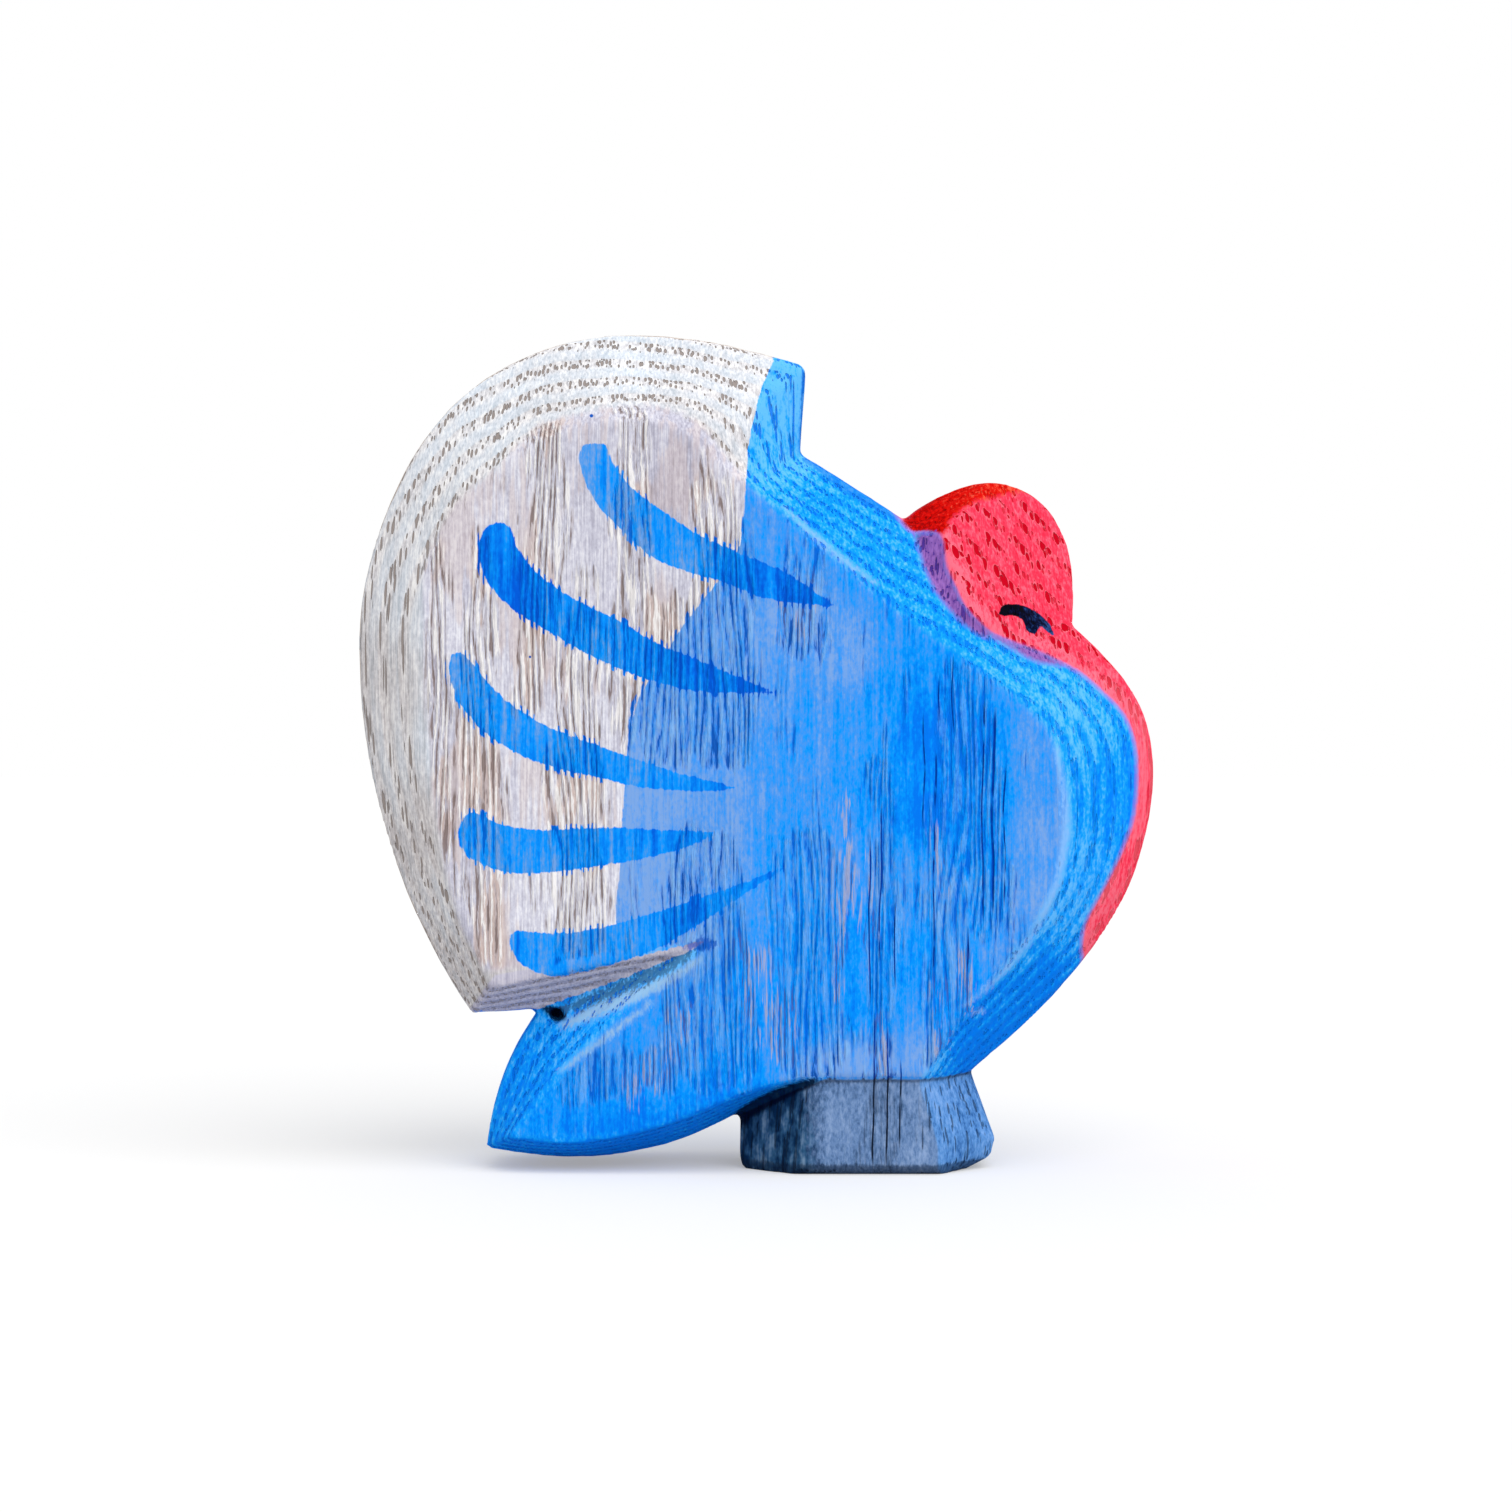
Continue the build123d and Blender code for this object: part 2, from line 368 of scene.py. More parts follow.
paintPlan = {
    # the blue covers all that lies right of and below this line, which runs down the middle of the fan
    "blueLine": [(1.9, 86.6), (0.4, 82.6), (-0.7, 77.6), (-1.1, 71.5), (-1.9, 66.0), (-4.6, 61.9),
                 (-7.4, 58.4), (-10.3, 53.6), (-12.6, 49.8), (-13.4, 45.4), (-13.9, 39.5), (-14.3, 33.0),
                 (-14.8, 27.0), (-13.6, 22.8)],
    "tailLine": [(-5.0, 24.9), (-7.4, 23.5), (-13.5, 20.9), (-23.3, 17.1), (-31.0, 16.7)],
    "blueRest": [(-60.0, 16.0), (-60.0, -20.0), (80.0, -20.0), (80.0, 110.0), (1.9, 110.0)],
    # feather strokes, from the blunt outer end to the thin inner end: the upper edge, the lower edge,
    # and how deep the colour is at three places along
    "strokePlaces": (0.0, 0.45, 0.9),
    "strokes": [
        ([(-18.9, 75.8), (-18.2, 77.2), (-15.9, 77.1), (-14.9, 75.0), (-12.8, 72.4), (-9.1, 69.7),
          (-5.9, 67.6), (-1.7, 65.7), (3.6, 63.4), (8.7, 59.9)],
         [(-18.9, 75.8), (-18.1, 72.9), (-16.5, 70.3), (-13.8, 67.6), (-11.2, 65.2), (-7.0, 63.4),
          (-3.3, 62.4), (1.0, 60.7), (8.7, 59.7)], (0.16, 0.44, 0.80)),
        ([(-29.5, 66.8), (-28.4, 68.7), (-26.2, 68.8), (-25.1, 66.2), (-22.8, 63.4), (-18.6, 60.6),
          (-14.4, 58.6), (-10.1, 56.1), (-5.9, 54.4), (2.3, 50.9)],
         [(-29.5, 66.8), (-29.1, 63.9), (-27.6, 61.3), (-24.9, 59.1), (-20.7, 56.5), (-16.5, 54.2),
          (-11.2, 52.1), (-5.9, 50.9), (2.3, 50.7)], (0.66, 0.46, 0.88)),
        ([(-32.7, 53.6), (-32.2, 55.1), (-30.7, 54.9), (-28.1, 51.8), (-24.9, 49.1), (-21.2, 47.1),
          (-16.5, 45.4), (-12.2, 43.9), (-8.0, 42.5), (-1.9, 41.0)],
         [(-32.7, 53.6), (-32.2, 51.2), (-31.0, 49.1), (-28.6, 46.5), (-24.9, 44.2), (-20.7, 42.7),
          (-16.5, 41.8), (-12.2, 40.8), (-5.9, 40.4), (-1.9, 40.7)], (0.32, 0.42, 0.54)),
        ([(-31.6, 36.2), (-30.8, 38.1), (-29.1, 38.2), (-27.0, 37.1), (-22.8, 36.5), (-18.6, 36.7),
          (-14.4, 36.8), (-11.2, 36.6), (-4.4, 36.3)],
         [(-31.6, 36.2), (-31.2, 34.3), (-29.7, 33.0), (-26.5, 31.8), (-22.3, 31.8), (-16.5, 32.5),
          (-12.2, 33.2), (-8.0, 34.3), (-4.4, 35.8)], (0.28, 0.44, 0.46)),
        ([(-26.3, 24.8), (-25.4, 25.8), (-20.7, 25.6), (-16.5, 26.2), (-12.2, 27.4), (-5.9, 29.4),
          (2.9, 32.6)],
         [(-26.3, 24.8), (-25.8, 23.3), (-24.4, 21.8), (-22.3, 20.9), (-20.2, 20.8), (-16.5, 21.7),
          (-12.2, 23.1), (-8.0, 25.1), (2.9, 32.2)], (0.34, 0.48, 0.64)),
    ],
    # how deep the blue lies at places on each side, from milky 0 to deep 1: x, z and depth
    "depths": [
        (-10, 57, 0.25), (-3, 60, 0.25), (5, 58, 0.16), (9, 54, 0.22), (-9, 49, 0.30), (0, 52, 0.30),
        (-10, 40, 0.10), (-4, 42, 0.18), (2, 45, 0.48), (8, 46, 0.50), (13.5, 50, 0.70), (13.5, 42, 0.68),
        (18.5, 47, 0.95), (18.5, 38, 0.95), (23, 45, 0.85), (23, 36, 0.80), (28.5, 45, 0.40),
        (29.5, 36, 0.22), (29, 29, 0.20), (26.5, 23.5, 0.35), (-11, 31, 0.08), (-5, 34, 0.18),
        (-7, 26, 0.16), (-1, 27, 0.50), (3, 33, 0.55), (9, 33, 0.45), (14, 33, 0.40), (19, 29, 0.50),
        (24, 29, 0.60), (3, 25, 0.64), (10, 25, 0.66), (17, 22, 0.70), (22, 19, 0.72), (12, 17, 0.72),
        (5, 16, 0.70), (8, 11.6, 0.10), (13, 11.8, 0.12), (17, 11.4, 0.20), (-3, 19, 0.60),
        (-9, 13, 0.48), (-16, 11, 0.44), (-23, 7, 0.72), (-13, 5, 0.92), (-4, 9, 0.80), (1, 84, 0.10),
        (3, 76, 0.24), (1.5, 69, 0.46), (7, 70, 0.62), (10, 67, 0.56), (15, 63, 0.60), (20, 55, 0.65),
        (27, 54, 0.45), (34, 49, 0.35), (38, 40, 0.70), (34, 30, 0.40), (30, 20, 0.90), (24, 13, 0.90),
    ],
    # the red of the head and the wattle lies right of this line
    "redLine": [(14.8, 70.6), (16.6, 68.4), (19.4, 67.9), (20.1, 64.6), (21.1, 62.2), (22.2, 60.0),
                (24.5, 57.6), (27.2, 56.4), (29.9, 55.4), (34.2, 53.4), (37.0, 51.1), (39.2, 48.8),
                (40.4, 46.0), (40.8, 42.6), (40.5, 38.0), (39.3, 34.4), (37.3, 30.4), (35.5, 27.0),
                (34.9, 24.6), (35.1, 22.0)],
    "redRest": [(80.0, 20.0), (80.0, 110.0), (10.0, 110.0)],
    "violet": [(16.9, 68.0), (19.6, 67.8), (20.2, 64.4), (21.2, 62.0), (22.2, 60.0), (24.8, 57.3),
               (24.4, 56.8), (22.8, 57.6), (20.8, 59.4), (19.0, 61.8), (17.9, 64.4)],
    "lowerViolet": [(24.6, 57.2, 0.1), (27.2, 56.0, 0.35), (29.8, 54.9, 0.6), (32.4, 54.0, 0.2)],
    "crown": [(15.6, 69.3), (19.7, 72.6), (24.5, 74.4), (30.6, 73.6), (26.1, 72.3), (23.2, 71.4),
              (20.9, 69.7), (20.0, 68.0), (17.4, 67.9)],
    "eye": [(25.8, 59.3), (26.3, 60.3), (27.9, 60.4), (29.4, 60.0), (31.1, 58.8), (31.9, 57.1),
            (31.1, 57.5), (30.4, 58.1), (29.8, 57.3), (28.9, 57.6), (28.5, 58.7), (27.5, 59.2),
            (26.3, 59.1)],
    "facet": [(-31.5, 16.0), (-27.6, 21.0), (-4.4, 25.4), (-4.2, 24.5), (-23.3, 16.9)],
    "foot": [(-3.4, 4.8), (3.6, 8.6), (7.0, 10.15), (20.0, 10.15), (23.0, 10.4), (40.0, 10.4),
             (40.0, -9.0), (-3.4, -9.0)],
    # the flat middle of each side, inside the cut bevels, in stretches
    "flat": [
        [(-3.0, 75.6), (-6.0, 79.3), (-10.0, 81.1), (-14.6, 81.2), (-19.3, 80.3), (-23.4, 78.8),
         (-27.6, 74.6), (-32.1, 70.6), (-35.2, 64.3), (-35.4, 57.0)],
        [(-35.4, 57.0), (-34.4, 42.0), (-31.6, 27.4), (-28.6, 21.4)],
        [(-4.6, 24.6), (-16.0, 15.0), (-25.2, 4.4)],
        [(-15.0, 4.2), (-6.1, 6.8), (-1.0, 8.7), (7.2, 10.3)],
        [(9.0, -3.0), (16.0, -3.0), (17.6, 10.3)],
        [(17.6, 10.3), (25.6, 21.6), (30.8, 29.4), (32.6, 37.0), (32.0, 43.4), (30.2, 47.6), (26.6, 51.0)],
        [(18.8, 56.6), (12.8, 61.2), (-0.4, 72.4)],
    ],
    # places where bare wood shows in the grooves of the blue: x, z and half width
    "bare": [
        [(-1.0, 24.5, 1.2), (1.2, 19.5, 3.0), (2.4, 14.0, 2.0)],
        [(2.6, 60.5, 0.6), (2.8, 57.8, 0.8)],
        [(5.6, 64.0, 0.4), (5.2, 60.0, 1.4), (6.0, 57.0, 0.4)],
        [(9.6, 42.0, 0.6), (10.6, 32.0, 2.0), (9.4, 19.0, 1.2)],
        [(19.4, 36.0, 0.6), (19.5, 29.0, 0.9)],
        [(22.0, 23.5, 0.8), (21.6, 18.5, 1.2)],
        [(19.8, 20.0, 1.0), (19.6, 14.5, 1.0)],
        [(12.6, 16.0, 1.2), (13.2, 4.0, 1.4)],
        [(-11.5, 60.0, 1.0), (-12.6, 52.0, 0.8)],
        [(-8.0, 17.0, 1.5), (-12.0, 9.0, 2.0)],
    ],
    # painted highlights: pale lines along edges and ridges of the carving
    "chalk": [
        [(31.6, 45.0, 0.1), (32.6, 37.0, 0.4), (31.0, 29.0, 0.3), (26.5, 22.0, 0.3), (22.0, 18.0, 0.1)],
        [(3.0, 70.4, 0.1), (8.0, 65.8, 0.35), (12.5, 62.5, 0.1)],
        [(-20.6, 11.0, 0.2), (-16.0, 14.4, 0.3), (-11.0, 18.2, 0.2)],
        [(-20.5, 15.6, 0.4), (-16.6, 17.4, 0.7), (-12.1, 19.3, 0.7), (-8.5, 21.1, 0.5), (-6.0, 22.8, 0.2)],
        [(22.6, 16.9, 0.1), (23.8, 17.3, 0.2)],
    ],
    # painted shade in the darkest corners: both cut ends between fan and tail, above the heel, behind the
    # head
    "dark": [
        [(-23.0, 17.4, 0.1), (-21.6, 16.8, 0.7), (-20.6, 16.4, 0.4)],
        [(-7.6, 24.0, -0.1), (-6.0, 24.4, 0.5), (-4.4, 24.4, 0.3)],
        [(-2.4, 4.6, 0.8), (-0.6, 6.4, 0.8), (3.4, 8.7, 0.6), (6.2, 10.0, 0.3)],
        [(17.6, 68.0, -0.1), (19.3, 68.2, 0.0)],
    ],
    # painted shade: a murky darker line along the bottom of the cut between fan and tail
    "pooled": [
        [(-21.0, 17.0, 0.3), (-16.7, 18.7, 0.7), (-13.0, 20.3, 0.7), (-9.4, 22.0, 0.6), (-6.6, 23.8, 0.4)],
    ],
    # painted shade: a darker line where the bevel turns into the sawn edge of the back
    "sawn": [
        [(5.1, 85.4, 0.1), (4.9, 77.0, 0.3)],
        [(5.4, 76.0, 0.4), (10.0, 73.0, 0.7), (15.0, 69.9, 0.4)],
    ],
    # the deepest pores of the head
    "headPit": [
        [(20.3, 67.3, 0.4), (21.6, 66.2, 0.8)],
        [(22.6, 65.9, 0.5), (25.7, 63.8, 0.8)],
    ],
    # how grey the pale wash is at places on the fan; on the bevels, mostly the left ones, it is painted
    # shade
    "greys": [
        (-8, 76, 0.90), (-8, 70, 1.00), (-14, 78, 0.55), (-4, 72, 0.45), (-24, 70, 0.45), (-27, 60, 0.35),
        (-17, 62, 0.50), (-20, 54, 0.45), (-9, 62, 0.45), (-15, 49, 0.30), (-29, 45, 0.30), (-20, 40, 0.15),
        (-24, 29, 0.20), (-17, 29, 0.05), (-14, 85, 0.15), (-30, 78, 0.20), (-2, 82, 0.30), (-36, 66, 0.45),
        (-38, 52, 0.75), (-35, 36, 0.85), (-30, 22, 0.90), (-34, 60, 0.40),
    ],
    # single drops: x, z and half width
    "dots": [(-17.4, 80.2, 0.24), (-23.9, 54.7, 0.16)],
}


def edgeOf(spots, lines):  # above 0 within the half width of any of the lines
    return -np.min([lineDistance(spots, smoothLine(line)) for line in lines], axis=0)


def spread(spots, places, softness=1.5, falloff=1.6):  # a smooth field from values given at places
    weight = np.zeros(len(spots))
    total = np.zeros(len(spots))
    for x, z, value in places:
        near = 1.0 / (((spots - (x, z)) ** 2).sum(axis=1) + softness) ** falloff
        weight += near
        total += near * value
    return total / weight


def paintDistances(spots):
    s = paintPlan
    strokeEdges = []
    strokeDepths = []
    for upper, lower, depths in s["strokes"]:
        strokeEdges.append(insideDistance(spots, np.vstack([smoothLine(upper), smoothLine(lower)[::-1]])))
        run = (spots[:, 0] - upper[0][0]) / (upper[-1][0] - upper[0][0])
        strokeDepths.append(np.interp(run, s["strokePlaces"], depths))
    nearest = np.argmax(strokeEdges, axis=0)
    rows = np.arange(len(spots))
    violet = insideDistance(spots, smoothLine(s["violet"]))
    outlines = {
        "blueEdge": np.vstack([smoothLine(s["blueLine"]), s["tailLine"], s["blueRest"]]),
        "redEdge": np.vstack([smoothLine(s["redLine"]), s["redRest"]]),
        "flatEdge": np.vstack([smoothLine(part) for part in s["flat"]]),
        "crownEdge": smoothLine(s["crown"]),
        "eyeEdge": smoothLine(s["eye"]),
        "facetEdge": np.array(s["facet"]),
        "footEdge": np.array(s["foot"]),
    }
    distances = {name: insideDistance(spots, outline) for name, outline in outlines.items()}
    for name in ("bare", "chalk", "dark", "pooled", "sawn", "headPit"):
        distances[name + "Edge"] = edgeOf(spots, s[name])
    distances["bandEdge"] = edgeOf(spots, ash["bands"])
    distances["violetEdge"] = np.maximum(violet, edgeOf(spots, [s["lowerViolet"]]))
    distances["strokeEdge"] = np.array(strokeEdges)[nearest, rows]
    distances["strokeDepth"] = np.array(strokeDepths)[nearest, rows]
    distances["blueDepth"] = spread(spots, s["depths"])
    distances["washGrey"] = spread(spots, s["greys"])
    return distances


# the figure: the frame's solid with its edges softened by hand tools

turkey = {
    "cell": 0.37,             # the grid that softens the edges, in millimetres
    "quickCell": 0.7,
    "smoothing": 3,
    "smoothingForce": 0.5,
    "ringSink": 0.09,         # how far the porous wood is worn below the hard wood
    "knifeWave": 0.16,        # slow unevenness of the cut faces
    "fibreWave": 0.05,
    "flatBorder": (-0.5, 0.5),
    "soleKept": (0.2, 2.0),   # the carving sets in between these heights, so the sole stays flat
    "backFrom": (-2.0, 4.0),  # from front to back, where the back's own painting sets in
    "backShift": [(9.0, 1.0, 0.7), (7.0, 2.0, 0.6)],  # its slow shifts: wave, start and reach
}


def softenedMesh(source):
    s = turkey
    rough = bpy.data.objects.new("roughTurkey", source.data.copy())
    bpy.context.scene.collection.objects.link(rough)
    rough.data.materials.clear()
    grid = rough.modifiers.new("grid", "REMESH")
    grid.mode = "VOXEL"
    grid.voxel_size = s["cell"] * mm
    ease = rough.modifiers.new("ease", "SMOOTH")
    ease.factor = s["smoothingForce"]
    ease.iterations = s["smoothing"]
    solid = bpy.data.meshes.new_from_object(rough.evaluated_get(bpy.context.evaluated_depsgraph_get()))
    bpy.data.objects.remove(rough)
    return solid


def carvingTree():
    s = turkey
    tree = bpy.data.node_groups.new("handCarving", "GeometryNodeTree")
    tree.interface.new_socket("Geometry", in_out="INPUT", socket_type="NodeSocketGeometry")
    tree.interface.new_socket("Geometry", in_out="OUTPUT", socket_type="NodeSocketGeometry")
    graph = Graph(tree)
    start = graph.node("NodeGroupInput")
    position = graph.node("GeometryNodeInputPosition").outputs[0]
    normal = graph.node("GeometryNodeInputNormal").outputs[0]
    place = graph.vectors("MULTIPLY", position, (1 / mm, 1 / mm, 1 / mm))
    flatEdge = graph.node("GeometryNodeInputNamedAttribute", None, {"Name": "flatEdge"}).outputs[0]
    bandEdge = graph.node("GeometryNodeInputNamedAttribute", None, {"Name": "bandEdge"}).outputs[0]
    flat = graph.step(flatEdge, *s["flatBorder"])
    early = porousWood(graph, place, flat, Wire(graph, bandEdge))
    knife = uneven(graph, place, "knife") - 0.5
    fibre = uneven(graph, place, "carvedFibre") - 0.5
    height = graph.split(place)[2]
    lift = knife * (2 * s["knifeWave"]) + fibre * (2 * s["fibreWave"]) - early * s["ringSink"]
    lift = lift * graph.step(height, *s["soleKept"]) * mm
    scaled = graph.node("ShaderNodeVectorMath", {"operation": "SCALE"}, {0: normal, "Scale": lift})
    kept = graph.node("GeometryNodeStoreNamedAttribute", {"data_type": "FLOAT_VECTOR", "domain": "POINT"},
                      {"Geometry": start.outputs[0], "Name": "carvedPlace", "Value": place})
    moved = graph.node("GeometryNodeSetPosition", None,
                       {"Geometry": kept.outputs[0], "Offset": scaled.outputs[0]})
    graph.node("NodeGroupOutput", None, {0: moved.outputs[0]})
    return tree


def paintPlaces(spots):  # where each spot lies in the plan of the paint; the back is painted less exactly
    s = turkey
    start, full = s["backFrom"]
    back = np.clip((spots[:, 1] - start) / (full - start), 0, 1)
    places = spots[:, [0, 2]]
    shifts = [np.sin(places[:, 1 - column] / wave + begin) * reach * back
              for column, (wave, begin, reach) in enumerate(s["backShift"])]
    return places + np.column_stack(shifts)


def makeTurkey():
    mesh = softenedMesh(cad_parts["turkey_figure"])
    spots = np.empty(len(mesh.vertices) * 3)
    mesh.vertices.foreach_get("co", spots)
    spots = spots.reshape(-1, 3) / mm
    for name, values in paintDistances(paintPlaces(spots)).items():
        mesh.attributes.new(name, "FLOAT", "POINT").data.foreach_set("value", values.astype(np.float32))
    figure = bpy.data.objects.new("painted_turkey", mesh)
    bpy.context.scene.collection.objects.link(figure)
    carving = figure.modifiers.new("carving", "NODES")
    carving.node_group = carvingTree()
    carved = bpy.data.meshes.new_from_object(figure.evaluated_get(bpy.context.evaluated_depsgraph_get()))
    figure.modifiers.clear()
    figure.data = carved
    carved.shade_smooth()
    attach(figure, "root")
    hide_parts("turkey_figure")
    return figure


# the finish: thin paint brushed on bare ash, over what every coat has to know about the wood

woodReading = {
    "flatSway": {"streak": 1.2},
    "flatBorder": (-0.5, 0.5),
    "poreRadius": 0.05,
    "poreWall": 0.10,
    "poresFilled": 0.8,           # the share of the pores that the flats hide
    "rimTurn": (0.25, 0.55),      # where a bevel turns into the sawn rim
    "underTurn": (0.35, 0.5),
    "facetBorder": (-0.2, 0.1),
    "linedByRing": 0.34,
    "linedFrom": (0.54, 0.76),
    "linedBevels": 0.1,           # how much of the grooves shows on the bevels
    "groove": (0.45, 0.35),
    "core": (0.34, 0.26),
    # the ridges of the grain, where a painted highlight goes
    "ridge": (0.56, 0.66),
    "teeth": 0.5,                 # how far paint runs along a groove, in millimetres
    "teethSway": {"streak": 0.6, "mottle": 0.3},
    "raggedSway": {"mottle": 1.2, "cloud": 0.9},
    "toneSway": {"streak": 0.45, "fibre": 0.65, "mottle": 0.5},
}


def swayed(value, wood, shares):  # the value pushed up and down by the wood's uneven fields
    for name, share in shares.items():
        value = value + (getattr(wood, name) - 0.5) * share
    return value


def readWood(graph):
    s = woodReading
    wood = SimpleNamespace()
    place = graph.node("ShaderNodeAttribute", {"attribute_name": "carvedPlace"}).outputs["Vector"]
    normal = graph.node("ShaderNodeNewGeometry").outputs["Normal"]
    wood.place = place
    wood.x, _, wood.height = graph.split(place)
    wood.normalX, normalY, normalZ = graph.split(normal)
    wood.streak = uneven(graph, place, "streak")
    wood.fibre = uneven(graph, place, "fibre")
    wood.cloud = uneven(graph, place, "cloud")
    wood.mottle = uneven(graph, place, "mottle")
    wood.gathered = uneven(graph, place, "gathered")
    wood.flat = graph.step(swayed(graph.kept("flatEdge"), wood, s["flatSway"]), *s["flatBorder"])
    wood.early = porousWood(graph, place, wood.flat, graph.kept("bandEdge"))
    gap = poreGap(graph, place, wood.early)
    wood.pore = graph.step(s["poreRadius"] - gap, 0.0, s["poreWall"]) * (1.0 - wood.flat * s["poresFilled"])
    wood.rim = 1.0 - graph.step(graph.maths("ABSOLUTE", normalY), *s["rimTurn"])
    wood.under = graph.step(0.0 - normalZ, *s["underTurn"])
    wood.facet = graph.step(graph.kept("facetEdge"), *s["facetBorder"])
    shown = s["linedBevels"] + wood.flat * (1.0 - s["linedBevels"])
    wood.lined = graph.step(wood.early * s["linedByRing"] + wood.gathered, *s["linedFrom"]) * shown
    wood.vein = combedVeins(graph, place)
    wood.groove = graph.step(wood.vein, *s["groove"]) * wood.lined
    wood.core = graph.step(wood.vein, *s["core"]) * wood.lined
    wood.ridge = graph.step(wood.vein, *s["ridge"]) * wood.lined
    wood.cracks = openCracks(graph, place)
    wood.teeth = swayed(wood.groove * s["teeth"], wood, s["teethSway"])
    wood.ragged = swayed(0.0, wood, s["raggedSway"])
    wood.tone = graph.unit(swayed(0.5, wood, s["toneSway"]))
    return wood


def crisp(graph, edge, teeth, width=0.10):  # a painted edge that bleeds along the grain
    return graph.unit((edge + teeth) / width + 0.5)


paleWash = {
    "flatTones": [(0.32, tint(192, 190, 206)), (0.50, tint(222, 222, 234)), (0.66, tint(250, 250, 255))],
    "greyTones": [(0.32, tint(156, 154, 172)), (0.50, tint(186, 184, 202)), (0.68, tint(214, 213, 225))],
    "greySway": {"streak": 0.8, "cloud": 0.5},
    "ringTones": [(0.34, tint(196, 196, 200)), (0.50, tint(232, 233, 238)), (0.62, tint(255, 255, 255))],
    "bevelTones": [(0.32, tint(194, 206, 218)), (0.50, tint(222, 231, 242)), (0.68, tint(246, 251, 255))],
    # painted shade on the bevels where the wash is grey, mostly on the left
    "shadedBevelTones": [(0.32, tint(158, 150, 148)), (0.50, tint(194, 186, 185)),
                       (0.68, tint(228, 223, 221))],
    "bevelShade": 0.9,
    "stain": (tint(212, 184, 168), 0.7),
    "stainFrom": (0.50, 0.60),
    "stainSway": {"streak": 0.6},
    "stainOfHardWood": 0.4,
    "bareRimTones": [(0.30, tint(176, 146, 116)), (0.70, tint(206, 184, 162))],
    "bareRim": 0.7,
    # painted shade on the fan's underside facet: greyer and darker than the wash
    "facetShadeTones": [(0.20, tint(150, 150, 170)), (0.42, tint(180, 177, 196)), (0.70, tint(214, 210, 222))],
    "facetRings": 0.18,
    "facetLift": 0.04,
    "facetPores": 0.5,
    # painted highlight on the ridges of the grain
    "ridge": (tint(252, 249, 248), 0.9),
    "groove": (tint(186, 177, 184), 0.6),
    "core": (tint(124, 104, 98), 0.8),
    "poreTone": tint(154, 144, 140),
}


def brushPaleWash(graph, wood):
    s = paleWash
    tone = wood.tone
    grey = graph.unit(swayed(graph.kept("washGrey"), wood, s["greySway"]))
    flat = graph.blend(grey, graph.ramp(tone, s["flatTones"]), graph.ramp(tone, s["greyTones"]))
    bevel = graph.blend(wood.early, graph.ramp(tone, s["bevelTones"]), graph.ramp(tone, s["ringTones"]))
    # painted shade on the bevels where the wash is grey
    bevel = graph.blend(grey * s["bevelShade"], bevel, graph.ramp(tone, s["shadedBevelTones"]))
    colour = graph.blend(wood.flat, bevel, flat)
    porous = wood.early * (1.0 - s["stainOfHardWood"]) + s["stainOfHardWood"]
    clouds = graph.step(swayed(wood.cloud, wood, s["stainSway"]), *s["stainFrom"])
    colour = graph.layer(porous * clouds * wood.flat, colour, s["stain"])
    bareRim = wood.rim * (1.0 - wood.under) * s["bareRim"]
    colour = graph.blend(bareRim, colour, graph.ramp(tone, s["bareRimTones"]))
    # painted shade on the fan's underside facet
    facetTone = graph.unit(tone - wood.early * s["facetRings"] + s["facetLift"])
    colour = graph.blend(wood.facet, colour, graph.ramp(facetTone, s["facetShadeTones"]))
    # painted highlight on the ridges of the grain
    colour = graph.layer(wood.ridge * (1.0 - wood.facet), colour, s["ridge"])
    colour = graph.layer(wood.groove, colour, s["groove"])
    colour = graph.layer(wood.core, colour, s["core"])
    return graph.blend(wood.pore * (1.0 - wood.facet * s["facetPores"]), colour, s["poreTone"])


blueStain = {  # thin and milky in some places and deep in others
    "flatTones": [(0.05, tint(124, 168, 230)), (0.40, tint(70, 152, 242)), (0.66, tint(2, 152, 255)),
                  (0.95, tint(0, 120, 242))],
    "bevelTones": [(0.10, tint(96, 186, 255)), (0.50, tint(14, 160, 255)), (0.90, tint(0, 128, 248))],
    "depthSway": {"streak": 0.9, "mottle": 0.9, "fibre": 0.5},
    "bevelSway": {"early": 0.2, "mottle": 0.8},
    # painted shade: surfaces facing down take deeper, darker blue
    "undersideShadeDepth": 0.2,
    # painted highlights along edges and ridges, paler and greyer on the tail
    "chalk": 0.7,
    "edgeHighlightTone": tint(150, 196, 246),
    "tailHighlightTone": tint(170, 202, 222),
    "tailFrom": (-3.0, -6.0),     # in x
    "edgeHighlightSway": {"mottle": 2.0},
    "edgeHighlightBorder": (-0.4, 0.5),
    # painted shade along the bottom of the cut between fan and tail
    "pooled": (tint(58, 104, 142), 0.8),
    "creaseShadeSway": {"mottle": 3.0, "cloud": 1.0},
    "creaseShadeBorder": (-0.3, 0.4),
    # painted shade where the bevel turns into the sawn edge
    "sawn": (tint(24, 112, 214), 0.6),
    "rimShadeSway": {"mottle": 0.8},
    "rimShadeBorder": (-0.2, 0.2),
    # painted highlight on the ridges of the grain, strongest over milky paint
    "ridgeTone": tint(138, 196, 252),
    "ridge": 0.6,                 # over milky paint
    "ridgeCovered": 0.5,          # how much less over deep paint
    "worn": (tint(178, 172, 190), 0.7),
    "wornVein": (0.42, 0.56),
    "wornFrom": (1.02, 1.14),
    "bareSway": {"streak": 4.0, "gathered": 4.0},
    "bareBorder": (-0.5, 0.5),
    "bareTone": tint(90, 100, 140),
    "bareCore": 0.5,
    "milkyGroove": tint(20, 88, 184),
    "deepGroove": tint(0, 110, 232),
    "deepening": (2.2, 0.4),      # how fast grooves turn from milky to deep with the paint, and how late
    "groove": 0.4,
    "pore": 0.8,
    "breastFrom": (12.0, 26.0),   # in x
    "breastPores": 0.4,           # how much less the pores show on the breast
    "crackTone": tint(0, 58, 172),
}


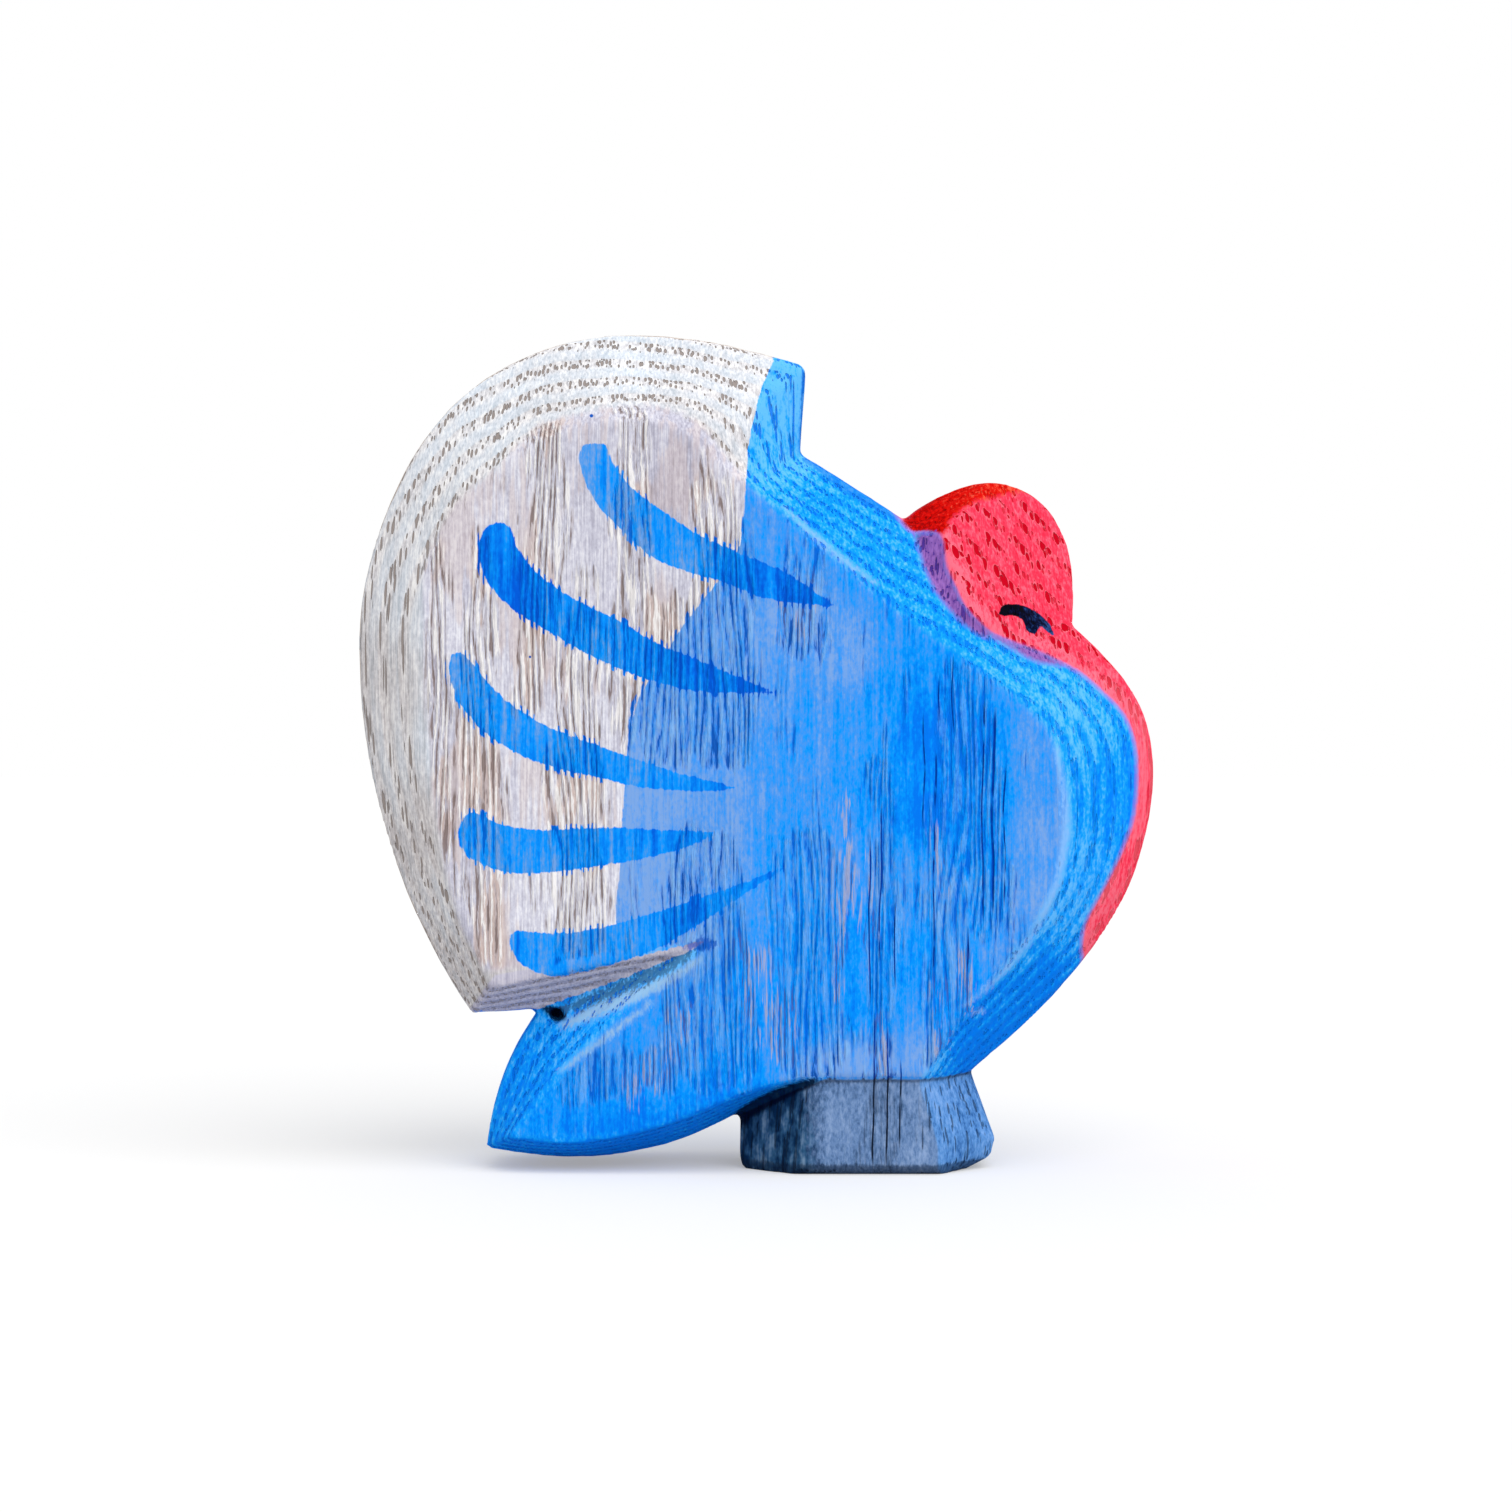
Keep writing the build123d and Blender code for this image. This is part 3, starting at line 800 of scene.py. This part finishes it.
def brushBlueStain(graph, wood):
    s = blueStain
    plannedDepth = graph.kept("blueDepth")
    # painted shade: surfaces facing down take deeper, darker blue
    depth = swayed(plannedDepth, wood, s["depthSway"]) + wood.under * s["undersideShadeDepth"]
    depth = graph.unit(depth + (1.0 - wood.flat) * swayed(0.0, wood, s["bevelSway"]))
    colour = graph.blend(wood.flat, graph.ramp(depth, s["bevelTones"]), graph.ramp(depth, s["flatTones"]))
    # painted highlights along edges and ridges
    chalk = graph.step(swayed(graph.kept("chalkEdge"), wood, s["edgeHighlightSway"]), *s["edgeHighlightBorder"])
    edgeHighlightTone = graph.blend(graph.step(wood.x, *s["tailFrom"]), s["edgeHighlightTone"], s["tailHighlightTone"])
    colour = graph.blend(chalk * s["chalk"], colour, edgeHighlightTone)
    # painted shade in the cut between fan and tail
    pooled = graph.step(swayed(graph.kept("pooledEdge"), wood, s["creaseShadeSway"]), *s["creaseShadeBorder"])
    colour = graph.layer(pooled, colour, s["pooled"])
    # painted shade where the bevel turns into the sawn edge
    sawn = graph.step(swayed(graph.kept("sawnEdge"), wood, s["rimShadeSway"]), *s["rimShadeBorder"])
    colour = graph.layer(sawn, colour, s["sawn"])
    # painted highlight on the ridges of the grain
    colour = graph.blend(wood.ridge * (s["ridge"] - depth * s["ridgeCovered"]), colour, s["ridgeTone"])
    bare = graph.step(swayed(graph.kept("bareEdge"), wood, s["bareSway"]), *s["bareBorder"])
    worn = bare * graph.step(wood.vein, *s["wornVein"])
    worn = worn * graph.step(wood.gathered + wood.fibre, *s["wornFrom"])
    colour = graph.layer(worn, colour, s["worn"])
    pore = wood.pore * (s["pore"] - graph.step(wood.x, *s["breastFrom"]) * s["breastPores"])
    colour = graph.blend(graph.unit(wood.groove * s["groove"] + pore), colour, s["deepGroove"])
    rate, delay = s["deepening"]
    core = graph.blend(graph.unit(plannedDepth * rate - delay), s["milkyGroove"], s["deepGroove"])
    core = graph.blend(bare * s["bareCore"], core, s["bareTone"])
    colour = graph.blend(wood.core, colour, core)
    return graph.blend(wood.cracks, colour, s["crackTone"])


featherPaint = {  # the strokes bleed along the grain
    "tones": [(0.05, tint(114, 164, 230)), (0.24, tint(66, 152, 238)), (0.42, tint(6, 150, 255)),
              (0.72, tint(0, 116, 236)), (0.95, tint(0, 90, 216))],
    "depthSway": {"cloud": 0.8, "streak": 1.3, "fibre": 0.4, "mottle": 0.7},
    "veinDepth": (0.2, 0.5),      # how far grooves deepen the paint, everywhere and more where it is lined
    "groove": (tint(0, 80, 200), 0.7),
    "shrink": 0.12,
}


def brushFeathers(graph, wood):  # the mask and the colour of the strokes
    s = featherPaint
    everywhere, whereLined = s["veinDepth"]
    depth = swayed(graph.kept("strokeDepth"), wood, s["depthSway"])
    depth = graph.unit(depth + (0.5 - wood.vein) * (everywhere + wood.lined * whereLined))
    colour = graph.layer(wood.core, graph.ramp(depth, s["tones"]), s["groove"])
    return crisp(graph, graph.kept("strokeEdge"), wood.teeth - s["shrink"]), colour


headPaint = {
    "tones": [(0.30, tint(236, 34, 66)), (0.50, tint(250, 62, 90)), (0.70, tint(255, 108, 130))],
    "pinkEdge": (3.0, 0.0),       # the red is thinner this near to its border, in millimetres
    "pinkSway": {"cloud": 4.0},
    "pinker": 0.18,
    "poreRadius": 0.08,
    "poreByRing": 0.34,
    "poreByPit": 0.16,
    "pitBorder": (-0.5, 0.3),
    "poreWall": 0.06,
    "rimPore": 0.7,
    "headFrom": (47.0, 56.0),     # in height
    "poreBelow": 0.5,             # how open the pores are below the head
    "poreTone": tint(196, 0, 28),
    # a painted highlight in a ring round each pore
    "poreHighlight": (tint(255, 136, 150), 0.35),
    "poreHighlightReach": (-0.12, -0.02),
    # painted shade on the crown facet: darker than the rest of the head, darkest at its left end
    "crownShadeTones": [(0.10, tint(150, 0, 0)), (0.40, tint(208, 4, 0)), (0.62, tint(218, 20, 10)),
                   (0.90, tint(238, 92, 68))],
    "crownFrom": 14.0,            # in x, dark at this end and bright at the other
    "crownLength": 18.0,
    "crownSway": {"mottle": 1.6, "cloud": 0.6},
    "crownEdgeSway": {"mottle": 1.4},
    "crownSoftness": 0.5,
    "violetTones": [(0.35, tint(112, 70, 152)), (0.65, tint(160, 110, 190))],
    "violetPore": (tint(58, 36, 136), 0.8),
    "violetSpecks": (0.40, 0.34),
}


def brushHead(graph, wood):  # the colour, and how open the pores are
    s = headPaint
    border = swayed(graph.kept("redEdge"), wood, s["pinkSway"])
    pinker = graph.step(border, *s["pinkEdge"]) * s["pinker"]
    colour = graph.ramp(graph.unit(wood.tone + pinker), s["tones"])
    pits = graph.step(graph.kept("headPitEdge"), *s["pitBorder"])
    gap = graph.cells(wood.place, ash["headPoreCell"]) - wood.early * s["poreByRing"]
    inside = s["poreRadius"] - (gap - pits * s["poreByPit"])
    opened = s["poreBelow"] + graph.step(wood.height, *s["headFrom"]) * (1.0 - s["poreBelow"])
    pore = graph.maths("MAXIMUM", graph.step(inside, 0.0, s["poreWall"]), wood.pore * s["rimPore"]) * opened
    # a painted highlight in a ring round each pore
    colour = graph.layer(graph.step(inside, *s["poreHighlightReach"]), colour, s["poreHighlight"])
    colour = graph.blend(pore, colour, s["poreTone"])
    # painted shade on the crown facet, darkest at its left end
    crown = crisp(graph, graph.kept("crownEdge"), swayed(0.0, wood, s["crownEdgeSway"]), s["crownSoftness"])
    crownShadeTone = graph.unit(swayed((wood.x - s["crownFrom"]) / s["crownLength"], wood, s["crownSway"]))
    return graph.blend(crown, colour, graph.ramp(crownShadeTone, s["crownShadeTones"])), pore


def brushViolet(graph, wood):  # where red runs over blue
    s = headPaint
    specks = graph.unit(wood.pore + graph.step(wood.mottle, *s["violetSpecks"]))
    return graph.layer(specks, graph.ramp(wood.tone, s["violetTones"]), s["violetPore"])


footPaint = {
    "tones": [(0.30, tint(60, 90, 130)), (0.50, tint(104, 136, 182)), (0.70, tint(142, 168, 208))],
    "toneSway": {"cloud": 0.6, "mottle": 0.7, "streak": 0.3},
    # the heel: dark paint together with painted shade under the tail
    "heelPaintAndShadeTones": [(0.40, tint(8, 44, 80)), (0.55, tint(48, 90, 128)), (0.76, tint(124, 152, 180))],
    "heelSway": {"streak": 0.6},
    "heelFrom": (8.0, 4.4),       # in x
    "heelRaggedness": 2.5,
    # painted light: the right-facing facets of the foot are bluer, as where lit
    "litToeTones": [(0.30, tint(40, 92, 156)), (0.50, tint(90, 144, 208)), (0.70, tint(128, 172, 228))],
    "toeTurn": (0.15, 0.35),
    "toeRaggedness": 0.2,
    # the colour of pores and cracks, also used for painted shade along the sole's edge and the top of the
    # foot
    "poreAndShadeTone": tint(16, 26, 48),
    "soleFrom": (1.3, 0.9),       # in height
    "soleRaggedness": 0.6,
    "sole": 0.6,
    "seamFrom": (0.5, 0.2),
    "seamRaggedness": 0.2,
    "seamShade": 0.5,
    "coreShare": 0.3,
    "poreShare": 0.6,
}


def brushFoot(graph, wood):
    s = footPaint
    ragged = wood.ragged
    tone = graph.unit(swayed(0.5, wood, s["toneSway"]))
    heelTone = graph.unit(swayed(uneven(graph, wood.place, "brushed"), wood, s["heelSway"]))
    toe = graph.step(wood.normalX + ragged * s["toeRaggedness"], *s["toeTurn"])
    heel = graph.step(wood.x + ragged * s["heelRaggedness"], *s["heelFrom"])
    # painted shade along the sole's edge and along the top of the foot, under the tail and belly
    sole = graph.step(wood.height + ragged * s["soleRaggedness"], *s["soleFrom"]) * s["sole"]
    seamShade = graph.step(graph.kept("footEdge") + ragged * s["seamRaggedness"], *s["seamFrom"]) * s["seamShade"]
    marks = graph.unit(wood.core * s["coreShare"] + wood.pore * s["poreShare"] + wood.cracks)
    # painted light: the right-facing facets are bluer, as where lit
    colour = graph.blend(toe, graph.ramp(tone, s["tones"]), graph.ramp(tone, s["litToeTones"]))
    # the heel: dark paint together with painted shade under the tail
    colour = graph.blend(heel, colour, graph.ramp(heelTone, s["heelPaintAndShadeTones"]))
    for mask in (sole, seamShade, marks):
        colour = graph.blend(mask, colour, s["poreAndShadeTone"])
    return colour


finish = {
    "redSway": {"mottle": 0.3},
    "redSoftness": 0.3,
    "fringe": (tint(170, 116, 200), 0.5),
    "fringeReach": (0.4, 0.05),   # to each side of the red's border
    "fringeShift": 0.1,
    "violetSway": {"mottle": 0.5},
    "violetSoftness": 0.7,
    "footTeeth": 0.3,
    "footSoftness": 0.2,
    "dotTone": tint(20, 88, 184),
    "dotCore": 0.6,               # the solid share of a drop
    # the next six settings paint shade into the darkest corners
    "paintedShadeBorder": (-0.25, 0.25),
    "cutEndFrom": (19.0, 22.0),   # in height: above it dark corners are softer, bluer and more ragged
    "paintedShadeRaggedness": (0.5, 1.1),
    "paintedShadeCover": (0.95, 0.25),
    "paintedShadeTone": tint(0, 10, 40),
    "cutEndShadeTone": tint(0, 72, 190),
    "eyeTones": [(0.40, tint(0, 0, 12)), (0.54, tint(4, 12, 52)), (0.78, tint(40, 80, 140))],
    "eyeMiddle": 29.2,            # in x
    "eyeFade": 0.07,              # how fast the eye pales towards the wattle
    "eyeSway": {"mottle": 0.3},
    "eyeSoftness": 0.12,
    "matt": 0.03,                 # how little the dry paint shines
    "roughness": 0.68,
    "roughFibre": 0.12,
    "roughPore": 0.12,
    "smoothPaint": 0.06,
    "smoothEye": 0.1,
    "poreDepth": 0.16,            # in millimetres, and so are the next four
    "veinDepth": 0.30,
    "crackDepth": 0.12,
    "fibreDepth": 0.03,
    "mottleDepth": 0.04,
}


def paintedAsh():
    s = finish
    material = bpy.data.materials.new("paintedAsh")
    graph = emptyGraph(material)
    wood = readWood(graph)
    strokeMask, strokeColour = brushFeathers(graph, wood)
    headColour, headPore = brushHead(graph, wood)

    redEdge = swayed(graph.kept("redEdge"), wood, s["redSway"])
    fringe = graph.step(graph.maths("ABSOLUTE", redEdge + s["fringeShift"]), *s["fringeReach"])
    blueMask = crisp(graph, graph.kept("blueEdge"), wood.teeth)
    redMask = crisp(graph, redEdge, 0.0, s["redSoftness"])
    violetTeeth = swayed(0.0, wood, s["violetSway"])
    violetMask = crisp(graph, graph.kept("violetEdge"), violetTeeth, s["violetSoftness"])
    footMask = crisp(graph, graph.kept("footEdge"), wood.teeth * s["footTeeth"], s["footSoftness"])
    eyeMask = crisp(graph, graph.kept("eyeEdge"), swayed(0.0, wood, s["eyeSway"]), s["eyeSoftness"])

    colour = graph.blend(blueMask, brushPaleWash(graph, wood), brushBlueStain(graph, wood))
    colour = graph.blend(strokeMask, colour, strokeColour)
    for x, z, half in paintPlan["dots"]:
        along = wood.x - x
        up = wood.height - z
        away = graph.maths("SQRT", along * along + up * up)
        colour = graph.blend(graph.step(away, half, half * s["dotCore"]), colour, s["dotTone"])
    colour = graph.blend(redMask, colour, headColour)
    colour = graph.layer(fringe, colour, s["fringe"])
    colour = graph.blend(violetMask, colour, brushViolet(graph, wood))
    colour = graph.blend(footMask, colour, brushFoot(graph, wood))

    # painted shade in the darkest corners: near black low down, softer, bluer and more ragged higher up
    cutEnd = graph.step(wood.height, *s["cutEndFrom"])
    raggedness, moreRagged = s["paintedShadeRaggedness"]
    cover, lessCover = s["paintedShadeCover"]
    darkEdge = graph.kept("darkEdge") + wood.ragged * (raggedness + cutEnd * moreRagged)
    dark = graph.step(darkEdge, *s["paintedShadeBorder"]) * (cover - cutEnd * lessCover)
    colour = graph.blend(dark, colour, graph.blend(cutEnd, s["paintedShadeTone"], s["cutEndShadeTone"]))
    eyeTone = graph.unit(wood.mottle + (wood.x - s["eyeMiddle"]) * s["eyeFade"])
    colour = graph.blend(eyeMask, colour, graph.ramp(eyeTone, s["eyeTones"]))

    painted = graph.unit(blueMask + strokeMask + redMask)
    roughness = s["roughness"] + wood.fibre * s["roughFibre"] - painted * s["smoothPaint"]
    roughness = roughness + wood.pore * s["roughPore"] - eyeMask * s["smoothEye"]
    holes = graph.unit(wood.pore * (1.0 - redMask) + headPore * redMask)
    relief = (wood.vein - 0.5) * wood.lined * s["veinDepth"] - holes * s["poreDepth"]
    relief = relief - wood.cracks * s["crackDepth"]
    relief = relief + wood.fibre * s["fibreDepth"] + wood.mottle * s["mottleDepth"]
    bump = graph.node("ShaderNodeBump", None, {"Strength": 1.0, "Distance": mm, "Height": relief})
    shader = graph.node("ShaderNodeBsdfPrincipled", None,
                        {"Base Color": colour, "Roughness": roughness, "Normal": bump.outputs[0],
                         "Specular IOR Level": s["matt"]})
    graph.node("ShaderNodeOutputMaterial", None, {"Surface": shader.outputs[0]})
    return material


figure = makeTurkey()
print("turkey carved:", len(figure.data.polygons), "faces")
figure.data.materials.append(paintedAsh())
print("turkey painted")


# the studio: a pale floor, an even sky and one wide soft lamp from the upper right

white = (1.0, 1.0, 1.0)

studio = {
    "sky": 0.72,
    "lamp": 2.0,
    "lampSize": 60.0,                 # degrees
    "lampFrom": (0.369, -0.527, 0.766),
    "floorTone": 0.58,
    "floorLift": 0.33,                # brings the floor up to white where it is seen directly
    "floorSide": 12.0,                # metres
}


def seenDirectly(graph):  # the camera, mirrors and glass see the white backdrop
    path = graph.node("ShaderNodeLightPath").outputs
    rays = [Wire(graph, path[name]) for name in ("Is Camera Ray", "Is Glossy Ray", "Is Transmission Ray")]
    return graph.unit(rays[0] + rays[1] + rays[2])


def addSky():
    world = bpy.data.worlds.new("studioSky")
    graph = emptyGraph(world)
    seen = seenDirectly(graph)
    sky = graph.node("ShaderNodeBackground", None, {"Color": white, "Strength": studio["sky"]})
    backdrop = graph.node("ShaderNodeBackground", None, {"Color": white, "Strength": 1.0})
    both = graph.node("ShaderNodeMixShader", None, {0: seen, 1: sky.outputs[0], 2: backdrop.outputs[0]})
    graph.node("ShaderNodeOutputWorld", None, {"Surface": both.outputs[0]})
    bpy.context.scene.world = world


def addLamp():
    s = studio
    data = bpy.data.lights.new("wideLamp", "SUN")
    data.energy = s["lamp"]
    data.angle = math.radians(s["lampSize"])
    lamp = bpy.data.objects.new("wideLamp", data)
    lamp.rotation_euler = Vector(s["lampFrom"]).to_track_quat("Z", "Y").to_euler()
    bpy.context.scene.collection.objects.link(lamp)


def floorPaint():
    tone = studio["floorTone"]
    material = bpy.data.materials.new("paleFloor")
    graph = emptyGraph(material)
    matt = graph.node("ShaderNodeBsdfDiffuse", None, {"Color": (tone, tone, tone)})
    lift = seenDirectly(graph) * studio["floorLift"]
    glow = graph.node("ShaderNodeEmission", None, {"Color": white, "Strength": lift})
    total = graph.node("ShaderNodeAddShader", None, {0: matt.outputs[0], 1: glow.outputs[0]})
    graph.node("ShaderNodeOutputMaterial", None, {"Surface": total.outputs[0]})
    return material


def addFloor():
    half = studio["floorSide"] / 2
    corners = [(-half, -half, 0), (half, -half, 0), (half, half, 0), (-half, half, 0)]
    mesh = bpy.data.meshes.new("paleFloor")
    mesh.from_pydata(corners, [], [(0, 1, 2, 3)])
    mesh.materials.append(floorPaint())
    floor = bpy.data.objects.new("paleFloor", mesh)
    bpy.context.scene.collection.objects.link(floor)


bpy.context.scene.view_settings.view_transform = "Standard"
addSky()
addLamp()
addFloor()
print("studio lit")
